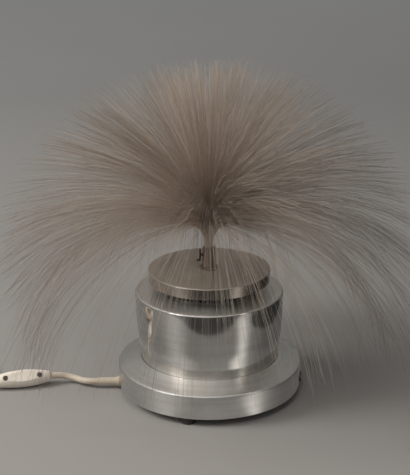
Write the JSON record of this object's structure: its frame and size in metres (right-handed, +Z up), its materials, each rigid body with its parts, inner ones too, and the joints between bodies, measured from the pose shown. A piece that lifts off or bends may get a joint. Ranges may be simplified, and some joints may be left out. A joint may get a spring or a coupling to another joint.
{
  "type": "fibre optic table lamp",
  "caption": "Table lamp with a stepped round metal base and a fountain of thin clear plastic fibres, fed by a mains cord with an in-line switch.",
  "frame": {"origin": "middle of the table face that the three feet stand on, under the axis of the base", "axes": "+Z up along the axis of the base and the fibre bundle, -Y towards the front"},
  "size_m": [0.5594, 0.4184, 0.3337],
  "materials": {
    "spun_aluminium": "spun, polished and lacquered, fine turning marks",
    "zinc_sheet": "zinc-plated sheet, dull",
    "zinc_screws": "zinc-plated, satin",
    "black_rubber": "moulded, matte",
    "natural_nylon": "moulded, translucent white",
    "porcelain": "glazed",
    "brass": "turned and pressed, slightly dull",
    "nickel": "nickel-plated",
    "clear_glass": "blown, silvered below the widest part",
    "coil_wrap": "yellow tape over the winding",
    "ferrite": "sintered, dull",
    "colour_film": "clear tinted film, one colour for each quarter",
    "black_plastic": "turned phenolic, low gloss",
    "brown_plastic": "turned phenolic, brown, low gloss",
    "blued_steel": "bent strip and pin, blued",
    "clear_fibre": "drawn clear plastic, slightly yellowed",
    "cream_pvc": "extruded cord sheath, yellowed with age",
    "core_insulation": "extruded",
    "lead_insulation": "extruded",
    "cream_plastic": "moulded, low gloss, yellowed with age"
  },
  "bodies": {
    "base": {"base_plate": "zinc_sheet", "base_ring": "spun_aluminium", "blanking_grommet": "black_rubber", "bulb_cap": "nickel", "bulb_glass": "clear_glass", "centre_contact": "brass", "chassis_nuts": "zinc_screws", "chassis_screws": "zinc_screws", "cord_clamp": "natural_nylon", "cord_coil": "cream_pvc", "cord_in_base": "cream_pvc", "cord_in_switch": "cream_pvc", "cord_to_coil": "cream_pvc", "drum": "spun_aluminium", "drum_nuts": "zinc_screws", "drum_screws": "zinc_screws", "feet": "black_rubber", "foot_nuts": "zinc_screws", "foot_screws": "zinc_screws", "gear_pins": "nickel", "gear_plate": "brass", "holder_bracket": "zinc_sheet", "holder_nipple": "brass", "inner_leads": "lead_insulation", "lamp_holder": "porcelain", "mains_cord": "cream_pvc", "mains_cores": "core_insulation", "motor_bracket": "zinc_sheet", "motor_can": "zinc_sheet", "motor_coil": "coil_wrap", "motor_cover": "zinc_sheet", "motor_screws": "zinc_screws", "nipple_nut": "zinc_screws", "plug_body": "cream_plastic", "plug_cord": "cream_pvc", "plug_pins": "nickel", "strain_relief": "cream_pvc", "switch_base": "cream_plastic", "switch_cover": "cream_plastic", "switch_screws": "zinc_screws", "switch_terminals": "brass", "terminal_block": "natural_nylon", "terminal_screws": "zinc_screws", "threaded_sleeve": "brass"},
    "wheel": {"wheel_hub": "black_plastic", "wheel_frame": "zinc_sheet", "colour_films": "colour_film", "output_shaft": "nickel", "output_gear": "brass"},
    "cluster": {"cluster_gear": "natural_nylon"},
    "rotor": {"rotor_magnet": "ferrite", "rotor_pinion": "natural_nylon"},
    "lid_unit": {"lid": "spun_aluminium", "vent_collar": "spun_aluminium", "bundle_socket": "brown_plastic", "socket_nut": "brown_plastic", "socket_screw": "blued_steel"},
    "spray": {"bundle_ferrule": "brown_plastic", "fibre_spray": "clear_fibre"},
    "rocker": {"switch_rocker": "cream_plastic"}
  },
  "joints": [
    {"name": "wheel_spin", "type": "hinge", "parent": "base", "child": "wheel", "pos_m": [0.0293, 0, 0.09], "axis": [0, 0, 1], "continuous": true},
    {"name": "cluster_spin", "type": "hinge", "parent": "base", "child": "cluster", "pos_m": [0.0329, 0.00624, 0.08], "axis": [0, 0, 1], "continuous": true},
    {"name": "rotor_spin", "type": "hinge", "parent": "base", "child": "rotor", "pos_m": [0.0365, 0, 0.075], "axis": [0, 0, 1], "continuous": true},
    {"name": "lid_lift", "type": "slide", "parent": "base", "child": "lid_unit", "axis": [0, 0, 1], "range_m": [0, 0.06]},
    {"name": "bundle_pull", "type": "slide", "parent": "lid_unit", "child": "spray", "axis": [0, 0, 1], "range_m": [0, 0.055]},
    {"name": "rocker_tip", "type": "hinge", "parent": "base", "child": "rocker", "pos_m": [-0.18757, 0.00725, 0.00574], "axis": [-0.1539, 0.6512, 0.7431], "range_deg": [0, 16]}
  ],
  "couplings": [
    {"joint": "cluster_spin", "follows": "wheel_spin", "ratio": -3},
    {"joint": "rotor_spin", "follows": "wheel_spin", "ratio": 9}
  ]
}
